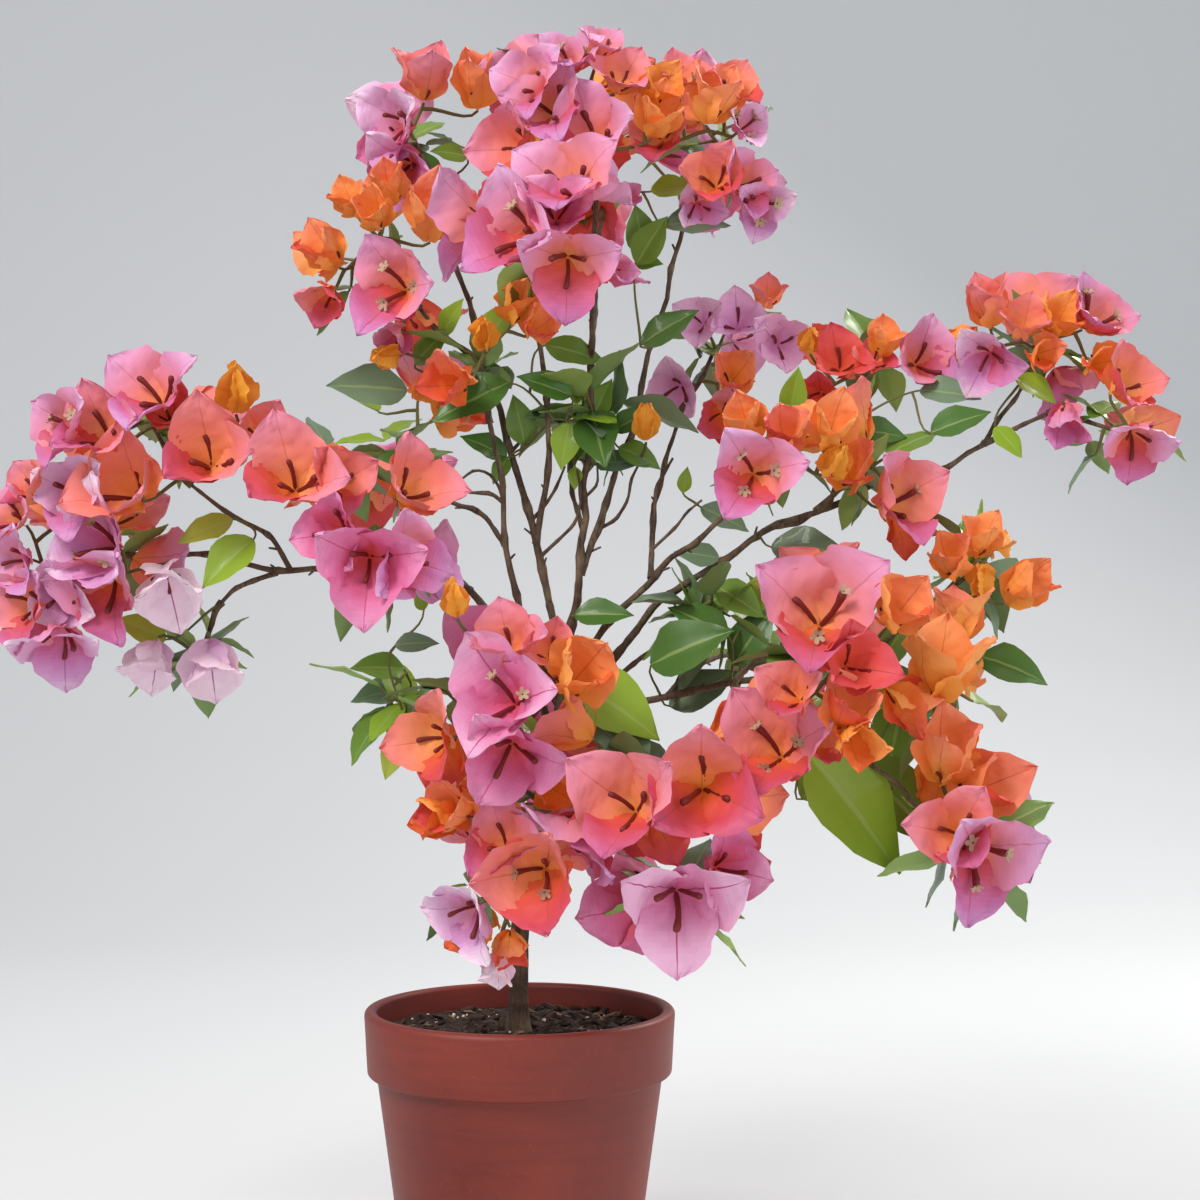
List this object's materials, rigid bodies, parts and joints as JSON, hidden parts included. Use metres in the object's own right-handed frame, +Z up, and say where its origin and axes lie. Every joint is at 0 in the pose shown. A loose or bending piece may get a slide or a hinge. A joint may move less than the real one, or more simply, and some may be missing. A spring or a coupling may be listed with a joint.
{
  "type": "potted bougainvillea bush",
  "caption": "Bougainvillea bush with pink, salmon and orange bracts on thin zigzag boughs above one slim trunk, in a plain round clay pot of soil.",
  "frame": {"origin": "centre of the pot's flat underside", "axes": "+Z up from the underside through the trunk, +X to the right of the pictured side, +Y away from it"},
  "size_m": [0.6286, 0.2983, 0.6522],
  "materials": {
    "terracotta": "smooth unglazed clay, faintly satin",
    "soil": "loose dark bark mix",
    "bark": "matte, ridged at the nodes",
    "leaf": "satin leaf",
    "pink_bract": "thin papery bract",
    "salmon_bract": "thin papery bract",
    "orange_bract": "thin papery bract",
    "violet_bract": "thin papery bract",
    "flower_tube": "matte"
  },
  "bodies": {
    "root": {"pot": "terracotta", "soil": "soil", "trunk": "bark", "left_bough": "bark", "left_crown_branch": "bark", "left_foot_branch": "bark", "left_low_branch": "bark", "gold_bough": "bark", "left_inner_branch": "bark", "tall_left_bough": "bark", "shoulder_branch": "bark", "face_bough": "bark", "crest_bough": "bark", "tall_right_bough": "bark", "crest_back_branch": "bark", "heart_branch": "bark", "right_bough": "bark", "violet_branch": "bark", "far_bough": "bark", "right_row_branch": "bark", "right_low_branch": "bark", "far_up_branch": "bark", "low_right_bough": "bark", "right_front_branch": "bark", "right_gold_branch": "bark", "hanging_branch": "bark", "back_right_branch": "bark", "back_left_branch": "bark", "crest": "pink_bract", "face": "pink_bract", "top_right": "orange_bract", "top_left": "salmon_bract", "left_shoulder": "orange_bract", "gold_centre": "orange_bract", "left_crown": "salmon_bract", "left_heart": "pink_bract", "left_hanging": "pink_bract", "left_inner": "salmon_bract", "left_inner_low": "pink_bract", "violet": "violet_bract", "right_row": "orange_bract", "right_face": "pink_bract", "right_low": "salmon_bract", "far_right_up": "pink_bract", "far_right_tip": "salmon_bract", "leafy_heart": "leaf", "front_upper": "pink_bract", "front_middle": "salmon_bract", "front_low_left": "salmon_bract", "front_low_right": "pink_bract", "left_leaves": "leaf", "right_leaves": "leaf", "right_front": "pink_bract", "right_gold": "orange_bract", "right_arm": "orange_bract", "right_hanging": "pink_bract", "back_top": "pink_bract", "back_left": "pink_bract", "back_right": "salmon_bract", "back_low": "pink_bract"}
  },
  "joints": []
}
